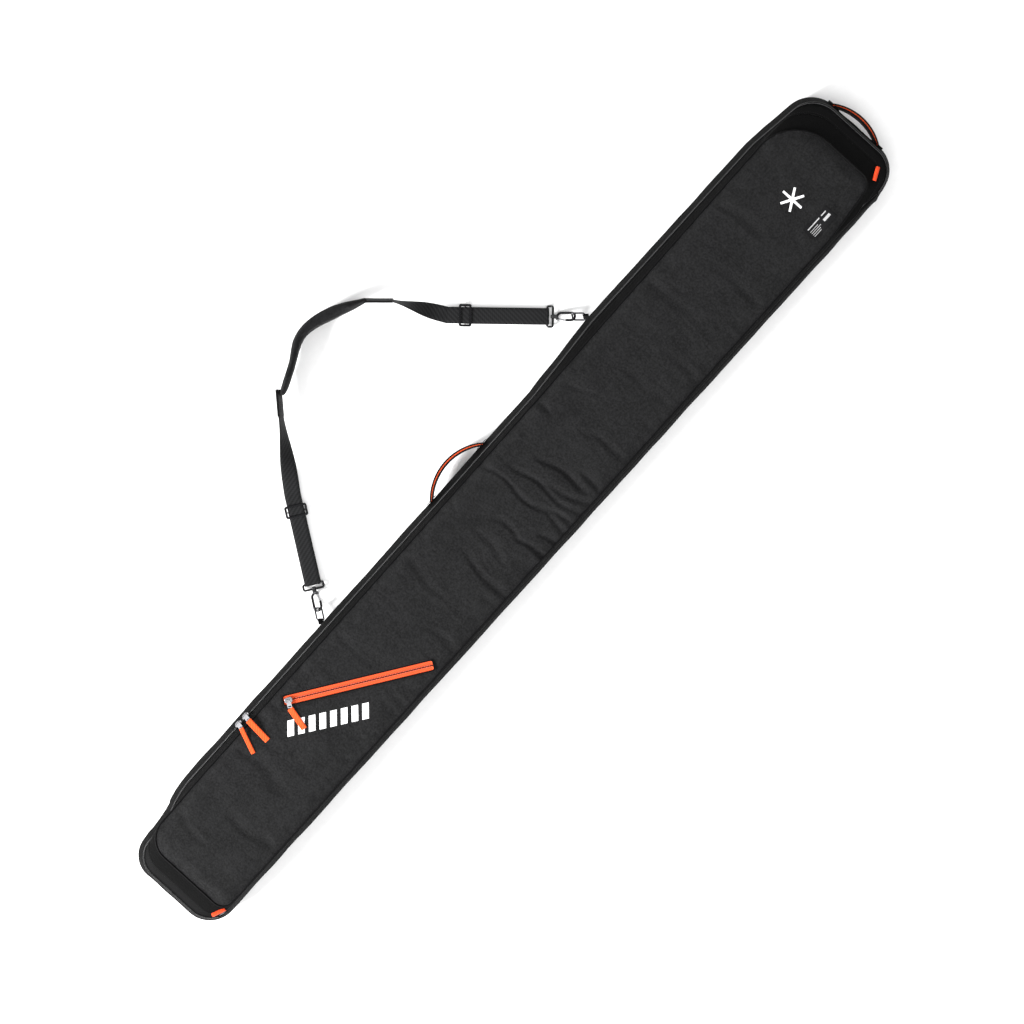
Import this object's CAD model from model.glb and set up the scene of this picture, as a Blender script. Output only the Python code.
from math import atan, cos, hypot, pi, radians, sin

import bmesh
import bpy
import numpy as np
from mathutils import Matrix, Vector
from mathutils.bvhtree import BVHTree


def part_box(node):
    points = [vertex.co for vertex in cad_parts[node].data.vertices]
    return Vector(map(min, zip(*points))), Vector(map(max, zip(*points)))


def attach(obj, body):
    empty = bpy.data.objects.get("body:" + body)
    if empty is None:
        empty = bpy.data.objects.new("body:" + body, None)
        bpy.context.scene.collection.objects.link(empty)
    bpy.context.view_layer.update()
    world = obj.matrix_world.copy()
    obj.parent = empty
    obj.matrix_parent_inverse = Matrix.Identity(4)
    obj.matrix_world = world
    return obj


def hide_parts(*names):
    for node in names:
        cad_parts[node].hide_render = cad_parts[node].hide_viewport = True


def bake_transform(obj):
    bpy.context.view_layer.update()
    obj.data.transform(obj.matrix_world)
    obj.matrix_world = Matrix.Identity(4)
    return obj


# Look of the padded ski bag. Metres, in the CAD's frame: X towards the nose end,
# Y towards the zipper and strap side, Z up, the back panel lying on the floor.

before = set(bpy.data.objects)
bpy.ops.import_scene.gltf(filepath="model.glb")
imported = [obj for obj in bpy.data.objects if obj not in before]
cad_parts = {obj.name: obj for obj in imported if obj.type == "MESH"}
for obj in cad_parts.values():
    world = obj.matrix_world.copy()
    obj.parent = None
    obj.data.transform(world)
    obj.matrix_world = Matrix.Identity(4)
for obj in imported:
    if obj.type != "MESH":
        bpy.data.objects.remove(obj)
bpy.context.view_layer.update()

# ------------------------------------------------------------------ the bag's outlines
# The same outlines as the CAD source, in millimetres: (x, y, corner radius).

ZIP_Z, SEAM_Z, PANEL_Z = 62.0, 79.0, 86.5
WIDEST_Z, BACK_Z = 34.0, 1.2
WIDEST = [
    (-924, 88, 46), (-828, 91, 180), (-768, 109, 200), (180, 115, 200), (345, 127, 200),
    (775, 126.5, 100), (924, 108, 56), (924, -100, 50), (850, -113, 60), (-924, -113, 52),
]
SEAM = [
    (-876, 84.5, 45), (-800, 85.5, 60), (-740, 87.5, 60), (180, 95.5, 200), (330, 99, 200),
    (740, 104.5, 100), (863, 105, 86), (863, -86, 24), (740, -100, 60), (-876, -105, 24),
]
HINGE_TAIL_X, HINGE_NOSE_X = -884.0, 862.0
ARC_POINTS = 9
STEP = 6.0


def inset(corners, tail, nose, left, right):
    moved = []
    for x, y, r in corners:
        new_x = x + tail if x < -870 else x - nose if x > 860 else x
        new_y = y - left if y > 0 else y + right
        moved.append((new_x, new_y, max(r - min(tail, nose, left, right), 8.0)))
    return moved


BACK = inset(WIDEST, 6, 6, 6, 6)
ZIP_LINE = inset(WIDEST, 8, 8, 11, 3)
LEVELS = [(BACK_Z, BACK), (WIDEST_Z, WIDEST), (ZIP_Z, ZIP_LINE), (SEAM_Z, SEAM)]


def corners_at(z, depth=0.0):
    for (z0, low), (z1, high) in zip(LEVELS, LEVELS[1:]):
        if z <= z1:
            f = max((z - z0) / (z1 - z0), 0.0)
            mixed = [tuple(a + f * (b - a) for a, b in zip(p, q)) for p, q in zip(low, high)]
            return inset(mixed, *[depth] * 4)
    return inset(SEAM, *[depth] * 4)


def unit(v):
    return v / np.linalg.norm(v)


EDGE_POINTS = [
    max(int(hypot(b[0] - a[0], b[1] - a[1]) / STEP), 2)
    for a, b in zip(WIDEST, WIDEST[1:] + WIDEST[:1])
]


def outline(corners, counts=EDGE_POINTS, arc_points=ARC_POINTS):
    """Points round a filleted outline, with the given number along each edge and corner."""
    ends, arcs = [], []
    count = len(corners)
    for i, (x, y, r) in enumerate(corners):
        p = np.array((x, y), float)
        a = unit(np.array(corners[i - 1][:2], float) - p)
        b = unit(np.array(corners[(i + 1) % count][:2], float) - p)
        half = np.arccos(np.clip(a @ b, -1, 1)) / 2
        reach = r / np.tan(half)
        centre = p + unit(a + b) * r / np.sin(half)
        start, end = p + a * reach - centre, p + b * reach - centre
        arc = []
        for f in np.linspace(0, 1, arc_points):
            arc.append(centre + unit(start * (1 - f) + end * f) * r)
        arcs.append(arc)
        ends.append((arc[0], arc[-1]))
    points = []
    for i in range(count):
        points += arcs[i]
        start, end = ends[i][1], ends[(i + 1) % count][0]
        for f in np.linspace(0, 1, counts[i] + 2)[1:-1]:
            points.append(start + (end - start) * f)
    return np.array(points)


def lengths(path):
    """Length along a path up to each of its points, starting at 0."""
    return np.concatenate([[0], np.cumsum(np.linalg.norm(np.diff(path, axis=0), axis=1))])


def normals(points):
    along = np.roll(points, -1, 0) - np.roll(points, 1, 0)
    along /= np.linalg.norm(along, axis=1)[:, None]
    return np.stack([-along[:, 1], along[:, 0]], 1)


def level(z, depth=0.0, out=None):
    """The outline at a height as 3-D points in metres, pushed out by out millimetres."""
    points = outline(corners_at(z, depth))
    if out is not None:
        points = points + normals(points) * np.reshape(out, (-1, 1))
    return np.column_stack([points, np.full(len(points), z)]) / 1000


# ------------------------------------------------------------------ mesh helpers


def make(name, verts, faces, body, slot, material, uv=None, replaces=()):
    data = bpy.data.meshes.new(name)
    data.from_pydata([tuple(v) for v in verts], [], [tuple(f) for f in faces])
    if uv is not None:
        layer = data.uv_layers.new(name="UVMap")
        loops = np.array([uv[i] for f in faces for i in f], float)
        layer.data.foreach_set("uv", loops.ravel())
    data.update()
    obj = bpy.data.objects.new(name, data)
    bpy.context.scene.collection.objects.link(obj)
    data.shade_smooth()
    data.materials.append(material)
    if body:
        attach(obj, body)
    if replaces:
        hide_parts(*replaces)
    return obj


def grid_faces(rows, cols, closed):
    faces = []
    for i in range(rows - 1):
        for j in range(cols if closed else cols - 1):
            k = (j + 1) % cols
            faces.append((i * cols + j, i * cols + k, (i + 1) * cols + k, (i + 1) * cols + j))
    return faces


def skin(name, rings, body, slot, material, closed=True, flip=False, **more):
    """A surface through rings of equal length, with UVs in metres."""
    rings = np.array(rings, float)
    rows, cols, _ = rings.shape
    faces = grid_faces(rows, cols, closed)
    if flip:
        faces = [f[::-1] for f in faces]
    along = lengths(rings[0])
    up = lengths(rings[:, cols // 2])
    uv = [(along[j], up[i]) for i in range(rows) for j in range(cols)]
    return make(name, rings.reshape(-1, 3), faces, body, slot, material, uv=uv, **more)


def frames_along(path, closed, up):
    """Tangent, side and up at each point of a path, kept close to the given up."""
    path = np.array(path, float)
    if closed:
        along = np.roll(path, -1, 0) - np.roll(path, 1, 0)
    else:
        along = np.gradient(path, axis=0)
    along /= np.linalg.norm(along, axis=1)[:, None]
    ups = np.broadcast_to(np.array(up, float), path.shape)
    side = np.cross(ups, along)
    side /= np.linalg.norm(side, axis=1)[:, None]
    return path, along, side, np.cross(along, side)


def tube(name, path, radius, body, slot, material, closed=True, up=(0, 0, 1), sides=8, **more):
    path, _, side, over = frames_along(path, closed, up)
    rings = []
    for k in range(sides + 1):
        a = 2 * pi * k / sides
        rings.append(path + radius * (cos(a) * side + sin(a) * over))
    return skin(name, rings, body, slot, material, closed=closed, flip=True, **more)


def band(name, path, width, thick, up, body, slot, material, **more):
    """Flat webbing along a path: up is the face's normal, at each point or for all."""
    path, _, side, over = frames_along(path, False, up)
    w, t = width / 2, thick / 2
    soft = min(t * 0.9, 0.0006)
    section = [
        (-w, 0), (-w + soft, t), (-w * 0.5, t), (0, t), (w * 0.5, t), (w - soft, t),
        (w, 0), (w - soft, -t), (w * 0.5, -t), (0, -t), (-w * 0.5, -t), (-w + soft, -t), (-w, 0),
    ]
    rings = [path + s * side + o * over for s, o in section]
    cols = len(path)
    verts = np.array(rings).reshape(-1, 3)
    faces = [f[::-1] for f in grid_faces(len(section), cols, False)]
    faces.append([i * cols for i in range(len(section) - 1)])
    faces.append([i * cols + cols - 1 for i in range(len(section) - 1)][::-1])
    along = lengths(path)
    uv = [(along[j], s) for s, _ in section for j in range(cols)]
    return make(name, verts, faces, body, slot, material, uv=uv, **more)


def stitches(name, path, up, body, material, pitch=0.0042, length=0.0028, radius=0.00035, closed=False):
    """A row of short thread stitches lying along a path."""
    path = np.array(path, float)
    if closed:
        path = np.vstack([path, path[:1]])
    total = lengths(path)
    verts, faces = [], []
    up = np.array(up, float)
    for s in np.arange(pitch / 2, total[-1] - length, pitch):
        ends = [
            np.array([np.interp(t, total, path[:, c]) for c in range(3)]) for t in (s, s + length)
        ]
        along = unit(ends[1] - ends[0])
        side = unit(np.cross(up, along))
        over = np.cross(along, side)
        first = len(verts)
        for end, size in ((0, 0.35), (0.25, 1), (0.75, 1), (1, 0.35)):
            centre = ends[0] + (ends[1] - ends[0]) * end
            for k in range(5):
                a = 2 * pi * k / 5
                verts.append(centre + radius * size * (cos(a) * side + sin(a) * over))
        for i in range(3):
            for k in range(5):
                m = (k + 1) % 5
                ring = first + i * 5
                faces.append((ring + k, ring + m, ring + 5 + m, ring + 5 + k))
        faces.append([first + k for k in range(5)][::-1])
        faces.append([first + 15 + k for k in range(5)])
    return make(name, verts, faces, body, None, material)


def subdivide(obj, levels=1):
    bpy.context.view_layer.objects.active = obj
    mod = obj.modifiers.new("subdivision", "SUBSURF")
    mod.levels = levels
    mod.render_levels = levels
    apply(obj)


def apply(obj):
    """The mesh with its modifiers applied."""
    bpy.context.view_layer.update()
    graph = bpy.context.evaluated_depsgraph_get()
    data = bpy.data.meshes.new_from_object(obj.evaluated_get(graph), depsgraph=graph)
    obj.modifiers.clear()
    obj.data = data


def puff(obj, pressure, cap, pinned=None, frames=20, shrink=0.0, bending=0.5):
    """Cloth simulation with pressure and no gravity; a point moves at most cap metres."""
    scene = bpy.context.scene
    before = np.array([v.co for v in obj.data.vertices], float)
    mod = obj.modifiers.new("Cloth", "CLOTH")
    cloth = mod.settings
    cloth.quality = 5
    cloth.mass = 0.3
    cloth.bending_stiffness = bending
    cloth.use_pressure = True
    cloth.uniform_pressure_force = pressure
    cloth.shrink_min = shrink
    cloth.effector_weights.gravity = 0
    if pinned is not None:
        group = obj.vertex_groups.new(name="pin")
        group.add([int(i) for i in pinned], 1.0, "REPLACE")
        cloth.vertex_group_mass = "pin"
    mod.point_cache.frame_start = 1
    mod.point_cache.frame_end = frames
    for number in range(1, frames + 1):
        scene.frame_set(number)
    graph = bpy.context.evaluated_depsgraph_get()
    done = obj.evaluated_get(graph).to_mesh()
    after = np.array([v.co for v in done.vertices], float)
    obj.evaluated_get(graph).to_mesh_clear()
    obj.modifiers.remove(mod)
    obj.vertex_groups.clear()
    scene.frame_set(1)
    move = after - before
    size = np.linalg.norm(move, axis=1)
    move *= (np.minimum(size, cap) / np.maximum(size, 1e-9))[:, None]
    obj.data.vertices.foreach_set("co", (before + move).ravel())
    obj.data.update()


# ------------------------------------------------------------------ materials


TURN = 6.2832  # a wave texture's scale is its turns in radians over a metre


class Nodes:
    """A small helper that adds and links shader nodes."""

    def __init__(self, name):
        self.material = bpy.data.materials.new(name)
        self.material.use_nodes = True
        self.tree = self.material.node_tree
        self.shader = self.tree.nodes["Principled BSDF"]

    def add(self, kind, inputs=None, **settings):
        node = self.tree.nodes.new(kind)
        for key, value in settings.items():
            setattr(node, key, value)
        for key, value in (inputs or {}).items():
            if isinstance(value, bpy.types.NodeSocket):
                self.tree.links.new(value, node.inputs[key])
            else:
                node.inputs[key].default_value = value
        return node

    def put(self, key, value):
        socket = self.shader.inputs[key]
        if isinstance(value, bpy.types.NodeSocket):
            self.tree.links.new(value, socket)
        else:
            socket.default_value = value

    def maths(self, operation, a, b):
        return self.add("ShaderNodeMath", {0: a, 1: b}, operation=operation).outputs[0]

    def ramp(self, value, stops):
        node = self.add("ShaderNodeValToRGB", {"Fac": value})
        ramp = node.color_ramp
        ramp.elements[0].position, ramp.elements[0].color = stops[0]
        ramp.elements[1].position, ramp.elements[1].color = stops[-1]
        for position, colour in stops[1:-1]:
            ramp.elements.new(position).color = colour
        return node.outputs["Color"]

    def noise(self, vector, scale, detail=3.0, roughness=0.6):
        return self.add(
            "ShaderNodeTexNoise",
            {"Vector": vector, "Scale": scale, "Detail": detail, "Roughness": roughness},
        ).outputs["Fac"]

    def wave(self, vector, scale, direction, profile="SIN", distortion=0.0):
        return self.add(
            "ShaderNodeTexWave",
            {"Vector": vector, "Scale": scale, "Distortion": distortion},
            bands_direction=direction,
            wave_profile=profile,
        ).outputs["Fac"]

    def bump(self, height, strength, distance, below=None):
        inputs = {"Height": height, "Strength": strength, "Distance": distance}
        if below is not None:
            inputs["Normal"] = below
        return self.add("ShaderNodeBump", inputs).outputs["Normal"]


def grey(v, a=1.0):
    return (v, v, v * 1.04, a)


def scaled(colour, k):
    return (colour[0] * k, colour[1] * k, colour[2] * k, 1.0)


def shades(colour, contrast, positions):
    """Ramp stops round a colour: darker, itself and lighter."""
    return [(at, scaled(colour, k)) for at, k in zip(positions, (1 - contrast, 1.0, 1 + contrast))]


def oxford(name, colour, thread=0.9, contrast=0.42, rough=0.8, sheen=0.04, turn=0.0, folds=0.0):
    """Plain-woven cloth: crossed threads, uneven yarn, faint fading and soft folds."""
    n = Nodes(name)
    place = n.add("ShaderNodeTexCoord").outputs["Object"]
    turned = n.add(
        "ShaderNodeMapping", {"Vector": place, "Rotation": (0.0, 0.0, turn)}
    ).outputs["Vector"]
    scale = 1000 / thread / TURN
    warp = n.wave(turned, scale, "X", distortion=0.6)
    weft = n.wave(turned, scale, "Y", distortion=0.6)
    rise = n.wave(turned, scale, "Z", distortion=0.6)
    weave = n.maths("MAXIMUM", n.maths("MULTIPLY", warp, weft), n.maths("MULTIPLY", rise, 0.6))
    yarn = n.noise(place, 300.0, 4.0, 0.72)
    cloudy = n.noise(place, 26.0, 4.0)
    slanted = n.add(
        "ShaderNodeMapping", {"Vector": place, "Rotation": (0.0, 0.0, 0.62), "Scale": (30.0, 8.0, 8.0)}
    ).outputs["Vector"]
    fold = n.add(
        "ShaderNodeTexNoise", {"Vector": slanted, "Scale": 1.0, "Detail": 2.5, "Distortion": 0.7}
    ).outputs["Fac"]
    mixed = n.maths("ADD", n.maths("MULTIPLY", yarn, 0.76), n.maths("MULTIPLY", cloudy, 0.16))
    mixed = n.maths("ADD", mixed, n.maths("MULTIPLY", fold, 0.08))
    n.put("Base Color", n.ramp(mixed, shades(colour, contrast, (0.4, 0.5, 0.61))))
    n.put("Roughness", n.maths("ADD", n.maths("MULTIPLY", yarn, 0.22), rough - 0.11))
    n.put("Sheen Weight", sheen)
    n.put("Sheen Roughness", 0.5)
    n.put("Specular IOR Level", 0.07)
    soft = n.bump(cloudy, 0.35, 0.004)
    if folds:
        soft = n.bump(fold, folds, 0.010, soft)
    crinkle = n.bump(yarn, 0.7, 0.0016, soft)
    n.put("Normal", n.bump(weave, 0.5, 0.0004, crinkle))
    return n.material


def webbing(name, colour, rib=1.3, twill=0.8, contrast=0.4, rough=0.7, sheen=0.04):
    """Woven tape along its own length: diagonal twill lines, fine ribs, darker edges."""
    n = Nodes(name)
    uv = n.add("ShaderNodeTexCoord").outputs["UV"]
    place = n.add("ShaderNodeTexCoord").outputs["Object"]
    across = n.wave(uv, 1000 / rib / TURN, "X")
    slant = n.wave(uv, 1000 / rib / TURN * twill, "DIAGONAL")
    yarn = n.noise(place, 700.0, 2.0)
    weave = n.maths("ADD", n.maths("MULTIPLY", across, 0.35), n.maths("MULTIPLY", slant, 0.65))
    mixed = n.maths("ADD", n.maths("MULTIPLY", weave, 0.6), n.maths("MULTIPLY", yarn, 0.4))
    n.put("Base Color", n.ramp(mixed, shades(colour, contrast, (0.2, 0.5, 0.8))))
    n.put("Roughness", n.maths("ADD", n.maths("MULTIPLY", yarn, 0.2), rough - 0.1))
    n.put("Sheen Weight", sheen)
    n.put("Specular IOR Level", 0.08)
    n.put("Normal", n.bump(mixed, 0.7, 0.0005))
    return n.material


def nylon_coil(name, colour, pitch=1.5):
    """Zipper coil: one rounded tooth after another along its length."""
    n = Nodes(name)
    uv = n.add("ShaderNodeTexCoord").outputs["UV"]
    tooth = n.wave(uv, 1000 / pitch / TURN, "X")
    n.put("Base Color", n.ramp(tooth, [(0.1, scaled(colour, 0.35)), (0.9, scaled(colour, 1.3))]))
    n.put("Roughness", n.maths("ADD", n.maths("MULTIPLY", tooth, -0.15), 0.5))
    n.put("Normal", n.bump(tooth, 1.0, 0.0006))
    return n.material


def metal(name, colour, rough=0.22, wear=0.5, edge=1.6):
    """Plated metal: brighter worn edges, fine scratches and uneven polish."""
    n = Nodes(name)
    place = n.add("ShaderNodeTexCoord").outputs["Object"]
    stretched = n.add("ShaderNodeMapping", {"Vector": place, "Scale": (1.0, 6.0, 1.0)}).outputs["Vector"]
    scratch = n.noise(stretched, 900.0, 4.0, 0.7)
    patch = n.noise(place, 120.0, 3.0)
    edges = n.add("ShaderNodeNewGeometry").outputs["Pointiness"]
    worn = n.ramp(edges, [(0.49, grey(0.0)), (0.56, grey(1.0))])
    shade = n.ramp(patch, [(0.3, scaled(colour, 0.85)), (0.7, scaled(colour, 1.1))])
    mix = n.add("ShaderNodeMix", {"Factor": n.maths("MULTIPLY", worn, wear)}, data_type="RGBA")
    n.tree.links.new(shade, mix.inputs[6])
    mix.inputs[7].default_value = tuple(min(c * edge + 0.05, 0.95) for c in colour[:3]) + (1.0,)
    n.put("Base Color", mix.outputs[2])
    n.put("Metallic", 1.0)
    n.put("Roughness", n.maths("ADD", n.maths("MULTIPLY", scratch, 0.22), rough - 0.08))
    n.put("Normal", n.bump(scratch, 0.12, 0.0002))
    return n.material


def ink(name, colour):
    """Screen print: matt ink that lets the weave show through."""
    n = Nodes(name)
    place = n.add("ShaderNodeTexCoord").outputs["Object"]
    warp = n.wave(place, 1000 / 0.9 / TURN, "X", distortion=0.6)
    weft = n.wave(place, 1000 / 0.9 / TURN, "Y", distortion=0.6)
    yarn = n.noise(place, 600.0, 2.0)
    weave = n.maths("MULTIPLY", warp, weft)
    mixed = n.maths("ADD", n.maths("MULTIPLY", weave, 0.4), n.maths("MULTIPLY", yarn, 0.6))
    n.put("Base Color", n.ramp(mixed, [(0.22, scaled(colour, 0.72)), (0.45, scaled(colour, 1.0))]))
    n.put("Roughness", n.maths("ADD", n.maths("MULTIPLY", yarn, 0.2), 0.55))
    n.put("Normal", n.bump(mixed, 0.5, 0.0004))
    return n.material


CHARCOAL = (0.0088, 0.0088, 0.0091)
M = {
    "shell": oxford("shell_fabric", CHARCOAL, turn=0.35, contrast=0.5, folds=0.28),
    "gusset": oxford("gusset_fabric", scaled(CHARCOAL, 0.12), sheen=0.0, folds=0.3),
    "back": oxford("back_fabric", scaled(CHARCOAL, 0.9)),
    "piping": webbing("piping_fabric", (0.0012, 0.0012, 0.0013), sheen=0.0),
    "lining": oxford("lining_fabric", (0.13, 0.13, 0.135), thread=0.5, sheen=0.2, rough=0.6),
    "tape": webbing("zip_tape_fabric", (0.0012, 0.0012, 0.0013), rib=0.9, sheen=0.0),
    "coil": nylon_coil("zip_coil_nylon", (0.0045, 0.0045, 0.0048)),
    "orange_tape": webbing("orange_tape_fabric", (0.60, 0.072, 0.022), rib=0.9, contrast=0.25),
    "orange_coil": nylon_coil("orange_coil_nylon", (0.52, 0.06, 0.016)),
    "orange_web": webbing("orange_webbing", (0.68, 0.078, 0.018), rib=1.2, contrast=0.3),
    "tab_web": webbing("orange_tab_webbing", (0.62, 0.05, 0.012), rib=1.2, contrast=0.3),
    "black_web": webbing("black_webbing", (0.0035, 0.0035, 0.0038), rib=1.6, contrast=0.55),
    "strap_web": webbing("strap_webbing", (0.0085, 0.0086, 0.0091), rib=1.8, contrast=0.6),
    "pad": oxford("pad_fabric", (0.0062, 0.0062, 0.0066), thread=0.8),
    "thread": webbing("thread", (0.006, 0.006, 0.0064), rib=0.6),
    "orange_thread": webbing("orange_thread", (0.6, 0.09, 0.02), rib=0.6),
    "slider": metal("slider_metal", (0.22, 0.22, 0.23), rough=0.2),
    "ring": metal("ring_metal", (0.07, 0.07, 0.075), rough=0.2),
    "hook": metal("hook_metal", (0.014, 0.014, 0.015), rough=0.2, wear=0.5, edge=4.0),
    "gate": metal("gate_metal", (0.30, 0.30, 0.31), rough=0.16),
    "adjuster": metal("adjuster_metal", (0.010, 0.010, 0.011), rough=0.26, wear=0.4, edge=4.0),
    "print": ink("print_white", (0.86, 0.86, 0.86)),
    "label": webbing("label_fabric", (0.006, 0.006, 0.0065), rib=0.7),
    "label_thread": webbing("label_thread", (0.4, 0.4, 0.4), rib=0.7),
}

NODE_MATERIALS = {
    "main_slider_tail": "slider", "main_slider_nose": "slider", "pocket_slider": "slider",
    "main_pull_tab_tail": "slider", "main_pull_tab_nose": "slider", "pocket_pull_tab": "slider",
    "ring_tail": "ring", "ring_nose": "ring",
    "hook_tail": "hook", "hook_nose": "hook", "swivel_eye_tail": "hook", "swivel_eye_nose": "hook",
    "hook_gate_tail": "gate", "hook_gate_nose": "gate",
    "adjuster_tail": "adjuster", "adjuster_nose": "adjuster",
}
for node, key in NODE_MATERIALS.items():
    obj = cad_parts[node]
    if obj.material_slots:
        for place in obj.material_slots:
            place.material = M[key]
    else:
        obj.data.materials.append(M[key])

# ------------------------------------------------------------------ hinge side and zipper side

RING = outline(WIDEST)
zip_ring = outline(ZIP_LINE)
on_hinge = (zip_ring[:, 1] < 0) & (zip_ring[:, 0] > HINGE_TAIL_X) & (zip_ring[:, 0] < HINGE_NOSE_X)
first = int(np.flatnonzero(on_hinge & ~np.roll(on_hinge, 1))[0])
HINGE = (first + np.arange(int(on_hinge.sum()))) % len(RING)
HINGE_WIDE = (first - 1 + np.arange(int(on_hinge.sum()) + 2)) % len(RING)
ZIP = (HINGE_WIDE[-1] + np.arange(len(RING) - len(HINGE))) % len(RING)


def ripple(size, seed, low=3, high=40):
    """Smooth uneven variation round the outline, about -size to size."""
    local = np.random.default_rng(seed)
    t = np.linspace(0, 2 * pi, len(RING), endpoint=False)
    total = np.zeros(len(RING))
    for k in range(low, high):
        total += local.normal() / k ** 0.5 * np.sin(k * t + local.uniform(0, 2 * pi))
    return total / np.abs(total).max() * size


# ------------------------------------------------------------------ base half

dips = ripple(1.0, 3, 20, 70)
rings = []
for z in (2.0, 4.0, 8.0, 14.0, 21.0, 28.0, 34.0, 40.0, 46.0, 51.0, 54.0, 55.2):
    f = (z - 2.0) / 53.2
    bulge = 2.2 * sin(pi * f) ** 0.7 if 0 < f < 1 else 0.0
    rings.append(level(z, 0.3, bulge + dips * sin(pi * f) * 1.1))
rings.append(level(54.6, 2.2))
rings.append(level(50.0, 2.4))
base_gusset = skin("base_gusset_cloth", rings, "base", "shell_fabric", M["gusset"], flip=True,
                   replaces=["base_gusset", "base_gusset_foam"])
subdivide(base_gusset)


def stations(x0, x1, radius, spacing=5.0):
    """X stations between two ends, closer together round the corners."""
    turn = radius * (1 - np.cos(np.linspace(0.07, pi / 2, 12)))
    middle = np.arange(x0 + radius + spacing, x1 - radius - spacing / 2, spacing)
    return np.concatenate([x0 + turn, middle, (x1 - turn)[::-1]])


def field(ring, radius, cols, spacing=5.0):
    """A grid of points that fills an outline."""
    left = ring[ring[:, 1] > 0]
    right = ring[ring[:, 1] < 0]
    left = left[np.argsort(left[:, 0], kind="stable")]
    right = right[np.argsort(right[:, 0], kind="stable")]
    xs = stations(ring[:, 0].min(), ring[:, 0].max(), radius, spacing)
    top = np.interp(xs, left[:, 0], left[:, 1])
    low = np.interp(xs, right[:, 0], right[:, 1])
    t = np.linspace(0, 1, cols)
    ys = low[:, None] + (top - low)[:, None] * t
    return np.dstack([np.repeat(xs[:, None], cols, 1), ys])


def edge_distance(points, ring):
    flat = points.reshape(-1, 2)
    best = np.full(len(flat), 1e9)
    for start in range(0, len(ring), 60):
        gap = flat[:, None, :] - ring[None, start:start + 60, :]
        best = np.minimum(best, np.sqrt((gap ** 2).sum(2)).min(1))
    return best.reshape(points.shape[:2])


def sheet_field(name, points, heights, body, slot, material, flip=False, **more):
    verts = np.dstack([points, heights]) / 1000
    return skin(name, verts, body, slot, material, closed=False, flip=flip, **more)


grid = field(outline(inset(BACK, 0.4, 0.4, 0.4, 0.4)), 40, 26, 9.0)
sheet_field("back_panel_cloth", grid, np.full(grid.shape[:2], 0.4), "base", "shell_fabric", M["back"],
            replaces=["back_panel", "back_foam"])

path = np.column_stack([outline(inset(BACK, -2, -2, -2, -2)), np.full(len(RING), 1.8)]) / 1000
tube("back_piping_cord", path, 0.0017, "base", "piping", M["piping"], replaces=["back_piping"])

# base lining: over the rim of the wall padding, down the wall and across the floor
rings = [level(58.0, 1.5), level(60.6, 1.9), level(61.0, 3.6), level(60.4, 6.6), level(57.5, 7.4)]
for z in (50.0, 42.0, 34.0, 26.0, 18.0, 12.0):
    rings.append(level(z, 7.6, ripple(0.5, int(z), 15, 60)))
rings.append(level(10.6, 8.4))
base_lining = skin("base_lining_wall", rings, "base", "lining_fabric", M["lining"], flip=True,
                   replaces=["base_lining"])
subdivide(base_lining)
grid = field(outline(corners_at(10.6, 8.0)), 36, 40, 8.0)
wrinkle = 0.5 * np.sin(grid[..., 0] / 23.0 + grid[..., 1] / 31.0) * np.sin(grid[..., 1] / 17.0)
floor_cloth = sheet_field("base_lining_floor", grid, 10.6 + 0.4 * wrinkle, "base", "lining_fabric",
                          M["lining"], flip=True)
subdivide(floor_cloth)

# zipper tape and coil of the base
rings = [level(z, 0.0)[ZIP] for z in (54.9, 57.0, 59.0, 61.2)]
rings += [level(61.2, 1.0)[ZIP], level(55.0, 1.1)[ZIP]]
skin("base_zip_tape_cloth", rings, "base", "zip_tape", M["tape"], closed=False, flip=True,
     replaces=["base_zip_tape"])
tube("base_zip_teeth", level(60.75, 0.0, 0.95)[ZIP], 0.00058, "base", "zip_coil", M["coil"], closed=False,
     sides=6, replaces=["base_zip_coil"])
stitches("base_zip_stitches", level(55.9, 0.0, 0.35)[ZIP], (0, 0, 1), "base", M["thread"])

# the cloth hinge strip bends between the two halves
SPINE_LEVELS = (54.6, 56.5, 58.5, 60.0, 61.0, 62.0, 63.0, 64.0, 65.5, 67.5, 69.2)
rings = [level(z, 0.0, 0.1)[HINGE] for z in SPINE_LEVELS]
spine = skin("spine_strip_cloth", rings, None, "shell_fabric", M["gusset"], closed=False, flip=True)
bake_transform(spine)
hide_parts("spine_strip")

# ------------------------------------------------------------------ lid half

rings = [level(70.5, 2.6), level(69.2, 2.2)]
for z in (68.9, 70.5, 72.5, 74.5, 76.5, 78.2, 79.2):
    f = (z - 68.9) / 10.3
    rings.append(level(min(z, 79.0), 0.0, 0.9 * sin(pi * f) + ripple(0.35, 11, 20, 70) * sin(pi * f)))
lid_gusset = skin("lid_gusset_cloth", rings, "lid", "shell_fabric", M["gusset"], flip=True,
                  replaces=["lid_gusset"])
subdivide(lid_gusset)

rings = [level(z, 0.0)[ZIP] for z in (62.8, 65.0, 67.0, 69.2)]
rings = [level(69.0, 1.1)[ZIP], level(62.8, 1.0)[ZIP]] + rings
skin("lid_zip_tape_cloth", rings, "lid", "zip_tape", M["tape"], closed=False, flip=True,
     replaces=["lid_zip_tape"])
teeth = outline(inset(corners_at(62.7), -0.85, -0.85, -0.85, -0.85))
path = np.column_stack([teeth, np.full(len(teeth), 63.25)])[ZIP] / 1000
tube("lid_zip_teeth", path, 0.00058, "lid", "zip_coil", M["coil"], closed=False, sides=6,
     replaces=["lid_zip_coil"])
stitches("lid_zip_stitches", level(68.2, 0.0, 0.35)[ZIP], (0, 0, 1), "lid", M["thread"])

# front panel: padded cloth, creased where the bag has been folded
POCKET_AT = np.array([-526.0, 69.0])
POCKET_TURN = radians(-34.2)
POCKET_LENGTH = 274.0
pocket_x = np.array([cos(POCKET_TURN), sin(POCKET_TURN)])
pocket_y = np.array([-sin(POCKET_TURN), cos(POCKET_TURN)])

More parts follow.
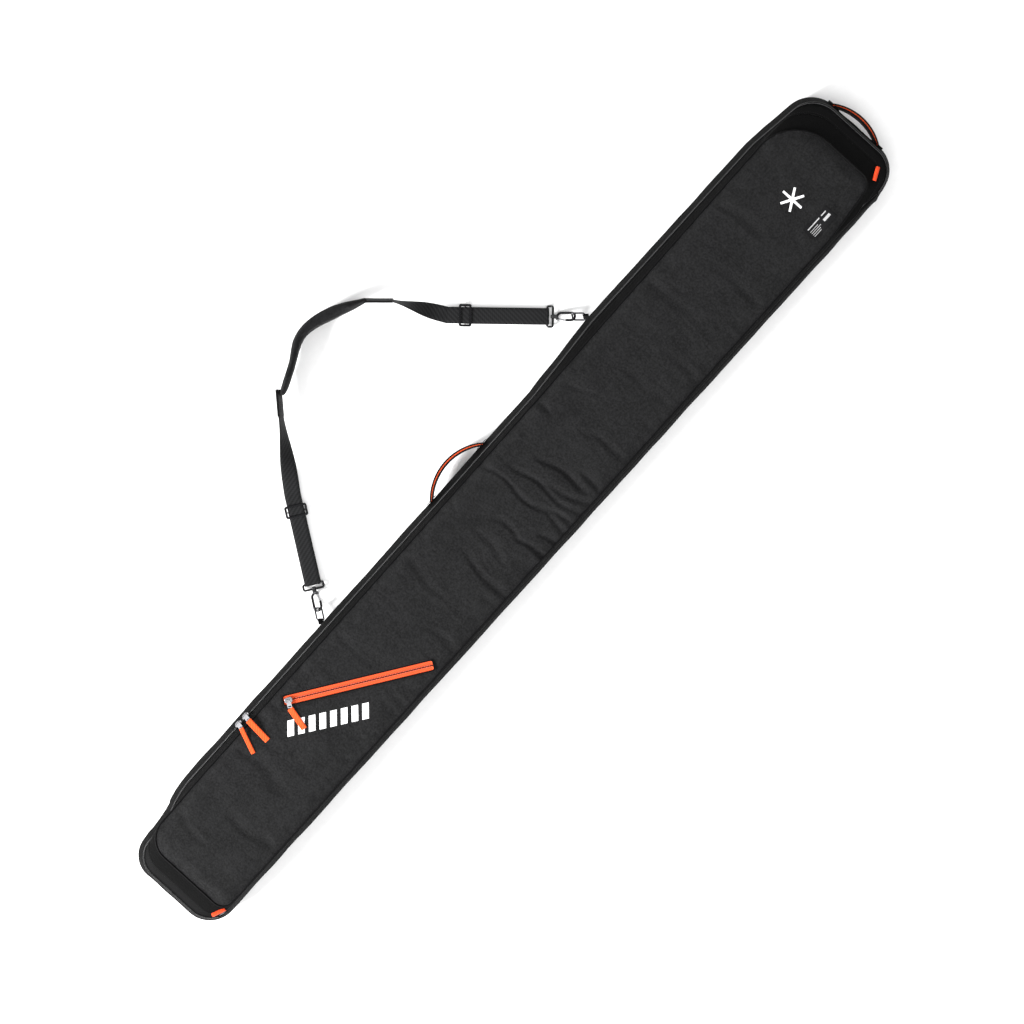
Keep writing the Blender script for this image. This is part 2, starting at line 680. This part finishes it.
seam_ring = outline(SEAM)
grid = field(seam_ring, 48, 44)
away = edge_distance(grid, seam_ring)
x, y = grid[..., 0], grid[..., 1]
height = SEAM_Z + 0.6 + (PANEL_Z - SEAM_Z - 0.9) * (1 - np.clip(1 - away / 26.0, 0, 1) ** 2.2)

# creases: centre x, y, direction in degrees, half length, width, depth
CREASES = [
    (64, -9, 96, 76, 6, 2.6), (108, -26, 99, 62, 6, 2.3), (30, -6, 92, 90, 6, 2.5),
    (-30, -74, 101, 32, 5, 2.4), (-121, -46, 85, 56, 7, 1.8), (171, 75, 92, 16, 6, 1.6),
    (247, 25, 105, 48, 8, 1.4), (-30, -19, 93, 30, 6, 1.7), (86, -58, 104, 40, 5, 2.0),
    (46, -66, 98, 34, 5, 2.0), (132, -74, 96, 26, 6, 1.7), (2, -84, 100, 20, 5, 1.8),
    (-74, -22, 80, 40, 8, 1.3), (-196, 22, 84, 50, 10, 1.2), (-256, -58, 96, 40, 9, 1.1),
    (196, -42, 100, 44, 9, 1.3), (316, 8, 97, 56, 11, 1.1), (392, -52, 84, 46, 10, 1.0),
    (470, 30, 99, 58, 12, 1.0), (566, -30, 92, 60, 12, 0.9), (660, 34, 101, 50, 12, 0.9),
    (-372, 18, 96, 44, 10, 1.0), (-640, 10, 88, 60, 12, 1.0), (-742, -26, 97, 54, 11, 1.1),
    (-806, 20, 86, 44, 10, 1.0),
]
for cx, cy, turn, half, width, depth in CREASES:
    c, s = cos(radians(turn)), sin(radians(turn))
    u = (x - cx) * c + (y - cy) * s
    v = -(x - cx) * s + (y - cy) * c + 4.0 * np.sin(u / 17.0 + cx)
    body_of_crease = np.exp(-(u / half) ** 4)
    valley = np.exp(-(v / width) ** 2)
    ridge = np.exp(-((v - 1.7 * width) / (1.3 * width)) ** 2)
    height += 2.4 * body_of_crease * (0.45 * depth * ridge - depth * valley)
broad = np.sin(x / 61.0 + y / 90.0) * np.sin(y / 47.0 - x / 140.0) + 0.6 * np.sin(x / 33.0 - y / 52.0)
height += 0.9 * broad * np.clip(away / 30.0, 0, 1)
height = np.minimum(height, PANEL_Z + 1.8 * np.clip(away / 40, 0, 1))

panel = sheet_field("front_panel_cloth", grid, height, None, "shell_fabric", M["shell"], flip=True)
rows, cols = x.shape
index = np.arange(rows * cols).reshape(rows, cols)
rim = np.concatenate([index[:2].ravel(), index[-2:].ravel(), index[:, :2].ravel(), index[:, -2:].ravel()])
puff(panel, 0.35, 0.0022, pinned=rim, shrink=-0.006, bending=0.8)


def pocket_frame(points):
    gap = points - POCKET_AT
    return gap @ pocket_x, gap @ pocket_y


subdivide(panel)
co = np.array([v.co for v in panel.data.vertices], float) * 1000
u, v = pocket_frame(co[:, :2])


def pocket_mask(half, before, after, fade):
    """1 near the pocket's slot, falling to 0 over the given distance."""
    across = np.clip((half - np.abs(v)) / fade, 0, 1)
    return across * np.clip((u + before) / fade, 0, 1) * np.clip((POCKET_LENGTH + after - u) / fade, 0, 1)


co[:, 2] = np.minimum(co[:, 2], PANEL_Z + 1.2)
near = pocket_mask(16.0, 10.0, 8.0, 6.0)
co[:, 2] = co[:, 2] * (1 - near) + np.minimum(co[:, 2], PANEL_Z) * near
inside = pocket_mask(9.0, 1.0, 1.0, 1.5)
co[:, 2] = co[:, 2] * (1 - inside) + np.minimum(co[:, 2], 82.4) * inside
panel.data.vertices.foreach_set("co", (co / 1000).ravel())
panel.data.update()
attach(panel, "lid")
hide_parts("front_panel", "front_foam")

tree = BVHTree.FromPolygons(
    [vert.co.copy() for vert in panel.data.vertices], [face.vertices[:] for face in panel.data.polygons]
)


def on_panel(px, py, lift):
    """Height of the panel's surface at a point in millimetres, plus lift."""
    hit = tree.ray_cast(Vector((px / 1000, py / 1000, 0.2)), Vector((0, 0, -1)))
    return (hit[0].z * 1000 if hit[0] is not None else PANEL_Z) + lift


def draped(points, lift):
    """Points in millimetres laid on the panel, in metres."""
    return [(px / 1000, py / 1000, on_panel(px, py, lift) / 1000) for px, py in points]


piping_path = np.column_stack([seam_ring, np.full(len(seam_ring), SEAM_Z + 2.0)]) / 1000
tube("front_piping_cord", piping_path, 0.0018, "lid", "piping", M["piping"], replaces=["front_piping"])
inner = seam_ring - normals(seam_ring) * 4.2
stitches("front_panel_stitches", draped(inner, 0.12), (0, 0, 1), "lid", M["thread"], closed=True)

# lid lining: the wall and the ceiling of the open lid
rings = [level(66.2, 2.3), level(65.6, 3.0), level(66.2, 3.6), level(69.0, 4.0), level(70.6, 5.2)]
skin("lid_lining_wall", rings, "lid", "lining_fabric", M["lining"], flip=True, replaces=["lid_lining"])
grid = field(outline(corners_at(71.0, 3.0)), 44, 40, 8.0)
wrinkle = np.sin(grid[..., 0] / 27.0 + grid[..., 1] / 36.0) * np.sin(grid[..., 1] / 15.0)
ceiling = sheet_field("lid_lining_ceiling", grid, 70.7 + 0.3 * wrinkle, "lid", "lining_fabric", M["lining"],
                      replaces=["pocket_lining"])
subdivide(ceiling)

# ------------------------------------------------------------------ pocket


def pocket_point(along, across, z):
    p = POCKET_AT + pocket_x * along + pocket_y * across
    return (p[0] / 1000, p[1] / 1000, z / 1000)


def pocket_band(name, across, width, z, thick, material, slot, replaces, start=0.5, end=273.5):
    path = [pocket_point(t, across, z) for t in np.arange(start, end + 0.1, 3.0)]
    return band(name, path, width / 1000, thick / 1000, (0, 0, 1), "lid", slot, material, replaces=replaces)


for side, across in (("upper", 5.0), ("lower", -5.0)):
    pocket_band(f"pocket_tape_cloth_{side}", across, 8.4, 84.7, 0.7, M["orange_tape"], "orange_tape",
                [f"pocket_tape_{side}"])
for side, kept in ((1, ["pocket_coils"]), (-1, [])):
    path = [pocket_point(t, side * 1.45, 85.75) for t in np.arange(3.0, 271.1, 2.0)]
    name = "pocket_teeth_upper" if side > 0 else "pocket_teeth_lower"
    tube(name, path, 0.00075, "lid", "orange_coil", M["orange_coil"], closed=False, sides=8, replaces=kept)
    path = [pocket_point(t, side * 4.4, 85.15) for t in np.arange(3.0, 271.1, 4.0)]
    name = "pocket_stitches_upper" if side > 0 else "pocket_stitches_lower"
    stitches(name, path, (0, 0, 1), "lid", M["orange_thread"], pitch=0.0036, length=0.0024)

corners = [(-2, 10.5, 4), (POCKET_LENGTH + 2, 10.5, 4), (POCKET_LENGTH + 2, -10.5, 4), (-2, -10.5, 4)]
loop_edges = [90, 7, 90, 7]


def pocket_loop(grow, extra_radius=0):
    """The welt's outline in the pocket's own frame, grown by some millimetres."""
    grown = []
    for px, py, r in corners:
        grown.append((px + np.sign(px - POCKET_LENGTH / 2) * grow, py + np.sign(py) * grow, r + extra_radius))
    return outline(grown, loop_edges, 7)


welt = []
for grow, z in ((0.0, 86.2), (-0.2, 87.0), (-0.9, 87.4), (-1.6, 87.2), (-2.1, 86.6), (-2.2, 84.6)):
    welt.append([pocket_point(px, py, z) for px, py in pocket_loop(grow)])
skin("pocket_welt_cloth", welt, "lid", "piping", M["piping"], flip=True, replaces=["pocket_welt"])
path = draped([POCKET_AT + pocket_x * px + pocket_y * py for px, py in pocket_loop(2.6, 2)], 0.12)
stitches("pocket_welt_stitches", path, (0, 0, 1), "lid", M["thread"], closed=True)

# ------------------------------------------------------------------ prints and label


def decal(name, polygon, lift, slot, material, cell=2.5, **more):
    """A thin patch of the given outline, draped on the panel."""
    mesh = bmesh.new()
    polygon = np.array(polygon, float)
    ring = [mesh.verts.new((px, py, 0)) for px, py in polygon]
    mesh.faces.new(ring)
    low, high = polygon.min(0), polygon.max(0)
    for axis in (0, 1):
        for cut in np.arange(low[axis] + cell, high[axis] - cell / 2, cell):
            spot = (cut, 0, 0) if axis == 0 else (0, cut, 0)
            normal = (1, 0, 0) if axis == 0 else (0, 1, 0)
            bmesh.ops.bisect_plane(
                mesh, geom=mesh.verts[:] + mesh.edges[:] + mesh.faces[:], plane_co=spot, plane_no=normal
            )
    verts = [(v.co.x, v.co.y) for v in mesh.verts]
    mesh.verts.index_update()
    faces = [[v.index for v in f.verts] for f in mesh.faces]
    mesh.free()
    uv = [(px / 1000, py / 1000) for px, py in verts]
    obj = make(name, draped(verts, lift), faces, "lid", slot, material, uv=uv, **more)
    normal = obj.data.polygons[0].normal
    if normal.z < 0:
        obj.data.flip_normals()
    return obj


def turned(points, centre, angle):
    c, s = cos(radians(angle)), sin(radians(angle))
    return [(centre[0] + px * c - py * s, centre[1] + px * s + py * c) for px, py in points]


# the plain flake: six arms that meet at a round middle
FLAKE = (744.0, -2.0)
shape = []
for arm in range(6):
    for side in (-1, 1):
        shape.append((30 + 60 * arm, 22.0, side * 2.0))
    shape.append((30 + 60 * arm + 30, 4.6, 0.0))
points = []
for angle, reach, across in shape:
    points += turned([(reach, across)], FLAKE, angle)
decal("printed_flake_ink", points, 0.12, "print_white", M["print"], replaces=["printed_flake"])

# a row of plain slanted bars
BAR = [(-7, -14), (5, -14), (11, 14), (-1, 14)]
for i in range(8):
    start = turned([(6 + 19.5 * i, 0)], (-559.0, 32.0), -35.0)[0]
    kept = ["printed_bars"] if i == 0 else []
    decal(f"printed_bar_{i}", turned(BAR, start, -35.0), 0.12, "print_white", M["print"], replaces=kept)

# woven side label with plain woven lines
LABEL = (746.0, -67.0)
box = [(-30, -14.5), (30, -14.5), (30, 14.5), (-30, 14.5)]
decal("side_label_cloth", turned(box, LABEL, 0), 0.55, "label_fabric", M["label"], replaces=["side_label"])
LABEL_LINES = [
    (-9, 7.5, 30, 2.0), (17, 7.5, 12, 2.0), (-14, 1.5, 20, 1.0), (-12, -2.0, 24, 1.0),
    (-14, -5.5, 20, 1.0), (16, -1.5, 16, 5.0), (-15, -9.0, 18, 1.0),
]
for i, (lx, ly, w, h) in enumerate(LABEL_LINES):
    line = [(lx + sx * w / 2, ly + sy * h / 2) for sx, sy in ((-1, -1), (1, -1), (1, 1), (-1, 1))]
    decal(f"side_label_line_{i}", turned(line, LABEL, 0), 0.75, "print_white", M["label_thread"])
edge = turned([(-29, -13.5), (29, -13.5), (29, 13.5), (-29, 13.5), (-29, -13.5)], LABEL, 0)
path = []
for (ax, ay), (bx, by) in zip(edge, edge[1:]):
    path += [(ax + (bx - ax) * f, ay + (by - ay) * f) for f in np.linspace(0, 1, 16)[:-1]]
stitches("side_label_stitches", draped(path, 0.75), (0, 0, 1), "lid", M["thread"], closed=True)

# ------------------------------------------------------------------ handles


def handle(name, centre, along, out, chord, rise, width=0.025):
    """A sewn carry handle: two layers of webbing with an orange strip between them."""
    centre, along, out = (np.array(v, float) for v in (centre, along, out))
    up = np.array((0, 0, 1.0))
    for part, start, thick, material, slot in (
        ("webbing_outer", 0.0, 2.6, M["black_web"], "black_webbing"),
        ("core_strip", 2.8, 2.0, M["orange_web"], "orange_webbing"),
        ("webbing_inner", 5.1, 2.7, M["black_web"], "black_webbing"),
    ):
        middle = start + thick / 2
        half, top = chord / 2 - middle * 1.1, rise - middle
        # circle through the two feet and the crown
        radius = (half ** 2 + (top - 0.6) ** 2) / (2 * (top - 0.6))
        reach = np.arcsin(half / radius)
        path, faces_up = [], []
        for a in np.linspace(-reach, reach, 49):
            px, py = radius * sin(a), radius * cos(a) - radius + top
            path.append(centre + (along * px + out * py) / 1000)
            faces_up.append(along * sin(a) + out * cos(a))
        replaces = {"webbing_outer": [f"{name}_webbing"], "core_strip": [f"{name}_core"]}.get(part, [])
        w = width - (0.0016 if part == "core_strip" else 0.0)
        band(f"{name}_{part}", path, w, thick / 1000, faces_up, "base", slot, material, replaces=replaces)
        if part == "webbing_outer":
            for edge in (-1, 1):
                shift = up * edge * (w / 2 - 0.003)
                row = [p + f * 0.00125 + shift for p, f in zip(path[2:-2], faces_up[2:-2])]
                stitches(f"{name}_stitches_{'low' if edge < 0 else 'high'}", row, out, "base", M["thread"])


slope = (115.0 - 109.0) / 948.0
haul_y = 109.0 + (768.0 - 17.0) * slope
handle("haul_handle", (-0.017, haul_y / 1000, 0.031), (1, slope, 0), (0, 1, 0), 146.0, 31.0)
handle("end_handle", (0.924, 0.004, 0.031), (0, -1, 0), (1, 0, 0), 116.0, 20.0)


def foot_patch(name, centre, along, out, w, h):
    """The stitched patch that holds a handle's end on the wall."""
    centre, along, out = (np.array(v, float) for v in (centre, along, out))
    rows = []
    for q in np.linspace(-1, 1, 9):
        row = []
        for p in np.linspace(-1, 1, 9):
            dome = out * 0.0009 * (1 - max(abs(p), abs(q)) ** 8)
            row.append(centre + along * p * w / 2 + np.array((0, 0, 1.0)) * q * h / 2 + dome)
        rows.append(row)
    return skin(name, rows, "base", "black_webbing", M["black_web"], closed=False)


for name, px in (("haul_foot_tail", -84.0), ("haul_foot_nose", 50.0)):
    py = 109.0 + (768.0 + px) * slope + 2.2
    foot_patch(name, (px / 1000, py / 1000, 0.031), (1, slope, 0), (0, 1, 0), 0.026, 0.03)
for name, py in (("end_foot_left", 56.0), ("end_foot_right", -48.0)):
    foot_patch(name, (0.9262, py / 1000, 0.031), (0, -1, 0), (1, 0, 0), 0.026, 0.03)

# folded webbing tabs over the zipper's ends: distance along and height, in millimetres
TAB_FOLD = [(-2.0, 74.5), (-1.0, 76.6), (0.6, 77.6), (2.2, 77.0), (3.4, 75.0), (3.9, 72.0), (4.0, 68.5)]
for end in ("nose", "tail"):
    low, high = (Vector(c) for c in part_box(f"zip_end_tab_{end}"))
    middle = (low + high) / 2
    angle = radians(26.0 if end == "nose" else -22.0)
    across = np.array((cos(angle), sin(angle), 0))
    way = np.array((-sin(angle), cos(angle), 0)) * -1.0
    path = [
        np.array(middle[:]) * (1, 1, 0) + way * d / 1000 + np.array((0, 0, z / 1000))
        for d, z in TAB_FOLD
    ]
    steps = np.linspace(0, 6, 19)
    path = np.column_stack([np.interp(steps, range(len(path)), [p[c] for p in path]) for c in range(3)])
    along = np.gradient(path, axis=0)
    ups = np.cross(along, np.broadcast_to(across, path.shape))
    ups *= np.sign((ups @ np.array((0, 0, 1.0)) + 0.4 * (ups @ way)))[:, None]
    band(f"zip_end_tab_{end}_cloth", path, 0.026, 0.0016, ups, "lid", "orange_webbing", M["tab_web"],
         replaces=[f"zip_end_tab_{end}"])

# ------------------------------------------------------------------ pulls


def smooth(points, count, rounds=3):
    """Evenly spaced points along a corner-cut polyline."""
    points = np.array(points, float)
    for _ in range(rounds):
        cut = [points[0]]
        for a, b in zip(points, points[1:]):
            cut += [a * 0.75 + b * 0.25, a * 0.25 + b * 0.75]
        cut.append(points[-1])
        points = np.array(cut)
    total = lengths(points)
    want = np.linspace(0, total[-1], count)
    return np.column_stack([np.interp(want, total, points[:, c]) for c in range(3)])


def pull(name, node, tip, angle, width, body):
    """A doubled webbing pull that starts at its metal tab and lies down on the panel."""
    way = np.array((cos(radians(angle)), sin(radians(angle))))
    start, z0, reach = np.array(tip[:2]), tip[2], tip[3]
    points = [
        (*start, z0), (*(start + way * 5), z0 + 1.2), (*(start + way * 15), PANEL_Z + 2.5),
        (*(start + way * 30), PANEL_Z + 2.3), (*(start + way * reach), PANEL_Z + 2.1),
    ]
    path = smooth(np.array(points) / 1000, 26)
    band(name, path, width / 1000, 0.0018, (0, 0, 1), body, "orange_webbing", M["orange_web"],
         replaces=[node])
    for edge in (-1, 1):
        side = np.array((-way[1], way[0], 0)) * edge * (width / 2 - 1.4) / 1000
        row = path[2:-1] + side + np.array((0, 0, 0.0010))
        stitches(f"{name}_stitch_{'left' if edge > 0 else 'right'}", row, (0, 0, 1), body, M["orange_thread"],
                 pitch=0.0034, length=0.0022)


# name, CAD ribbon, body, angle, width, distance back from the box's middle, drop of the start, length
PULLS = [
    ("main_pull_webbing_tail", "main_pull_ribbon_tail", "main_pull_tail", -112.0, 8.0, 25.0, 2.0, 50.0),
    ("main_pull_webbing_nose", "main_pull_ribbon_nose", "main_pull_nose", -94.0, 11.0, 25.0, 2.0, 50.0),
    ("pocket_pull_webbing", "pocket_pull_ribbon", "pocket_pull", -103, 11.0, 22.0, 1.0, 44.0),
]
for name, node, body, angle, width, behind, drop, reach in PULLS:
    low, high = (np.array(c) * 1000 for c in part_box(node))
    slant = cos(radians(angle))
    start = (low[0] + high[0]) / 2 - slant * behind, high[1] - 0.5 * width * abs(slant)
    pull(name, node, (*start, high[2] - drop, reach), angle, width, body)

# ------------------------------------------------------------------ strap

CHAINS = {"tail": ((-384.0, 110.6), (0.573, 0.819)), "nose": ((352.0, 126.2), (-0.662, 0.750))}
RUNS = {
    "tail": (134.0, 166.0, (-153.0, 419.0), (27.0, 29.0)),
    "nose": (148.0, 180.0, (133.0, 410.0), (-29.0, 32.0)),
}
DROOP = radians(13.0)
TWIST = 76.0
for end, (seam, way) in CHAINS.items():
    flat = unit(np.array((*way, 0.0)))
    origin = np.array((*seam, 0.0)) + flat * 79.0 * cos(DROOP)
    bar_z = 22.0 - 79.0 * sin(DROOP)
    adjuster_at, flat_end, pad_start, pad_way = RUNS[end]
    up = np.array((0, 0, 1.0))
    low_z = bar_z - 2.8
    path, ups = [], []
    for d in np.linspace(adjuster_at - 14, 0, 40):
        path.append(origin + flat * d + up * (low_z + 0.15 * sin(d / 9)))
        ups.append(-up)
    for a in np.linspace(-80, 80, 9):
        r = radians(a)
        path.append(origin - flat * 2.8 * cos(r) + up * (bar_z + 2.8 * sin(r)))
        ups.append(-flat * cos(r) + up * sin(r))
    for d in np.linspace(1.5, flat_end - 2, 70):
        f = min(d / 25.0, 1.0)
        z = bar_z + 2.8 + (7.8 - bar_z - 2.8) * f
        path.append(origin + flat * d + up * z)
        ups.append(up)
    start = origin + flat * flat_end + up * 7.8
    finish = np.array((*pad_start, 29.0))
    pad_flat = unit(np.array((*pad_way, 0.0)))
    for f in np.linspace(0.0, 1.0, 40):
        ease = f * f * (3 - 2 * f)
        centre = start + (finish - start) * f
        heading = unit(flat * (1 - f) + pad_flat * f)
        across = np.cross(up, heading)
        angle = radians(TWIST * ease)
        wide = across * cos(angle) + up * sin(angle)
        path.append(centre)
        ups.append(np.cross(heading, wide))
    band(f"strap_web_{end}", np.array(path) / 1000, 0.03, 0.0012, np.array(ups), "strap", "black_webbing",
         M["strap_web"], replaces=[f"strap_webbing_{end}"])
    # the sewn end round the adjuster's bar
    centre = origin + flat * adjuster_at + up * 4.6
    points, faces_up = [], []
    for d in np.linspace(-34.5, -1.2, 14):
        points.append(centre + flat * d + up * -1.7)
        faces_up.append(-up)
    for a in np.linspace(-70, 250, 15):
        r = radians(a)
        points.append(centre + flat * 1.72 * cos(r) + up * 1.72 * sin(r))
        faces_up.append(flat * cos(r) + up * sin(r))
    band(f"strap_sewn_cloth_{end}", np.array(points) / 1000, 0.03, 0.0011, np.array(faces_up),
         f"adjuster_{end}", "black_webbing", M["black_web"], replaces=[f"strap_sewn_end_{end}"])
    # ring tab
    level_side = np.cross(up, flat)
    tilt = radians(47.0 if end == "tail" else -47.0)
    droop_way = flat * cos(DROOP) - up * sin(DROOP)
    upright = np.cross(droop_way, level_side)
    normal = upright * cos(tilt) - level_side * sin(tilt)
    wide = np.cross(normal, droop_way)
    seam_point = np.array((*seam, 22.0))
    tab_points, tab_up = [], []
    for d in np.linspace(2.6, 10.0, 6):
        tab_points.append(seam_point + droop_way * d + normal * 2.4)
        tab_up.append(normal)
    for a in np.linspace(75, -75, 9):
        r = radians(a)
        tab_points.append(seam_point + droop_way * (10.0 + 2.4 * cos(r)) + normal * 2.4 * sin(r))
        tab_up.append(droop_way * cos(r) + normal * sin(r))
    for d in np.linspace(10.0, 2.6, 6):
        tab_points.append(seam_point + droop_way * d - normal * 2.4)
        tab_up.append(-normal)
    tab = band(f"ring_tab_{end}_cloth", np.array(tab_points) / 1000, 0.0092, 0.0013, np.array(tab_up), None,
               "black_webbing", M["black_web"])
    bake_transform(tab)
    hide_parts(f"ring_tab_{end}")

# shoulder pad: padded cloth, with a stitched hem and end tabs
PAD_OUTER = [(-126, 442.5), (-78, 466), (-20, 497), (46, 484), (104, 446)]
PAD_INNER = [(-123.5, 439.5), (-78, 458), (-20, 482), (46, 463), (101.5, 439)]


def curve_through(points, count):
    """A smooth curve through a few points."""
    points = np.array(points, float)
    knots = lengths(points)
    slopes = np.gradient(points, knots, axis=0)
    made = []
    for t in np.linspace(0, knots[-1], count):
        i = min(int(np.searchsorted(knots, t, side="right")) - 1, len(points) - 2)
        h = knots[i + 1] - knots[i]
        f = (t - knots[i]) / h
        a = 2 * f ** 3 - 3 * f ** 2 + 1
        b = f ** 3 - 2 * f ** 2 + f
        c = f ** 3 - f ** 2
        made.append(a * points[i] + b * h * slopes[i] + (1 - a) * points[i + 1] + c * h * slopes[i + 1])
    return np.array(made)


outer, inner = curve_through(PAD_OUTER, 60), curve_through(PAD_INNER, 60)
rows = []
for k in range(32):
    a = 2 * pi * k / 32
    across, rise = cos(a), sin(a)
    across = np.sign(across) * abs(across) ** 0.75
    rise = np.sign(rise) * abs(rise) ** 0.6
    row = []
    for j in range(60):
        f = j / 59
        end_fall = min(f, 1 - f) * 59 / 8
        tall = 15 + 11.0 * min(max(end_fall, 0), 1) ** 0.8
        middle = (outer[j] + inner[j]) / 2
        half = (outer[j] - inner[j]) / 2
        half = half * max(1.0, 4.2 / np.linalg.norm(half))
        spot = middle + half * across * 0.96
        row.append((spot[0], spot[1], 29.0 + rise * tall))
    rows.append(row)
rows = np.array(rows) / 1000
rows = np.concatenate([rows, rows[:1]])
verts = rows[:-1].reshape(-1, 3)
faces = []
for i in range(32):
    for j in range(59):
        k = (i + 1) % 32
        faces.append((i * 60 + j, i * 60 + j + 1, k * 60 + j + 1, k * 60 + j))
faces.append([i * 60 for i in range(32)])
faces.append([i * 60 + 59 for i in range(32)][::-1])
pad = make("shoulder_pad_cloth", verts, faces, None, "pad_fabric", M["pad"])
remesh = pad.modifiers.new("remesh", "REMESH")
remesh.mode = "VOXEL"
remesh.voxel_size = 0.003
apply(pad)
pad.data.materials.clear()
pad.data.materials.append(M["pad"])
puff(pad, 3.0, 0.0022, shrink=-0.01)
subdivide(pad)
pad.data.shade_smooth()
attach(pad, "strap")
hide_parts("shoulder_pad_cover", "shoulder_pad_foam")

for end in ("tail", "nose"):
    _, _, pad_start, pad_way = RUNS[end]
    heading = unit(np.array((*pad_way, 0.0)))
    start = np.array((*pad_start, 29.0))
    length = 34.0 if end == "tail" else 40.0
    lean = radians(90 - TWIST)
    across = np.cross((0, 0, 1.0), heading)
    side = np.cross(heading, across * sin(lean) + np.array((0, 0, cos(lean))))
    path = [(start + heading * d) / 1000 for d in np.linspace(-3.0, length + 12, 14)]
    band(f"pad_tab_{end}_cloth", path, 0.031, 0.0032, side, "strap", "pad_fabric", M["black_web"],
         replaces=[f"pad_tab_{end}"])
    for edge in (-1, 1):
        shift = np.array((0, 0, edge * 12.5))
        row = [(start + heading * d + shift + side * 1.8) / 1000 for d in np.linspace(2, length - 8, 12)]
        stitches(f"pad_tab_{end}_stitches_{'low' if edge < 0 else 'high'}", row, side, "strap", M["thread"])

# ------------------------------------------------------------------ floor, lights, camera

floor = bpy.data.objects.new("floor", bpy.data.meshes.new("floor"))
floor.data.from_pydata([(-9, -9, 0), (9, -9, 0), (9, 9, 0), (-9, 9, 0)], [], [(0, 1, 2, 3)])
bpy.context.scene.collection.objects.link(floor)
n = Nodes("floor_paper")
grain = n.noise(n.add("ShaderNodeTexCoord").outputs["Object"], 60.0, 3.0)
n.put("Base Color", n.ramp(grain, [(0.3, (0.90, 0.90, 0.90, 1)), (0.7, (0.93, 0.93, 0.93, 1))]))
n.put("Roughness", 0.9)
floor.data.materials.append(n.material)

world = bpy.context.scene.world or bpy.data.worlds.new("world")
bpy.context.scene.world = world
world.use_nodes = True
background = world.node_tree.nodes["Background"]
background.inputs["Color"].default_value = (1.0, 1.0, 1.0, 1.0)
background.inputs["Strength"].default_value = 0.98


def area(name, at, to, size, power):
    data = bpy.data.lights.new(name, "AREA")
    data.shape = "DISK"
    data.size = size
    data.energy = power
    light = bpy.data.objects.new(name, data)
    light.location = at
    light.rotation_euler = (Vector(to) - Vector(at)).to_track_quat("-Z", "Y").to_euler()
    bpy.context.scene.collection.objects.link(light)


UP = Vector((0.741, 0.672, 0))
RIGHT = Vector((0.672, -0.741, 0))
area("key", (-5.0, 1.6, 2.65), (0, 0, 0), 1.6, 900)
area("fill", (-0.6, -1.4, 3.0), (0, 0, 0), 3.6, 60)
bpy.context.scene.view_settings.view_transform = "Standard"

camera_data = bpy.data.cameras.new("camera")
camera = bpy.data.objects.new("camera", camera_data)
bpy.context.scene.collection.objects.link(camera)
DISTANCE = 6.0
PANEL_WIDTH = 1.823
camera_data.angle = 2 * atan(PANEL_WIDTH / 2 / DISTANCE)
camera_data.clip_end = 50
back_axis = RIGHT.cross(UP).normalized()
camera.matrix_world = Matrix((
    (*RIGHT.normalized(), 0), (*UP.normalized(), 0), (*back_axis, 0), (0, 0, 0, 1),
)).transposed()
camera.location = (-0.003, -0.006, 0.0865 + DISTANCE)
bpy.context.scene.camera = camera
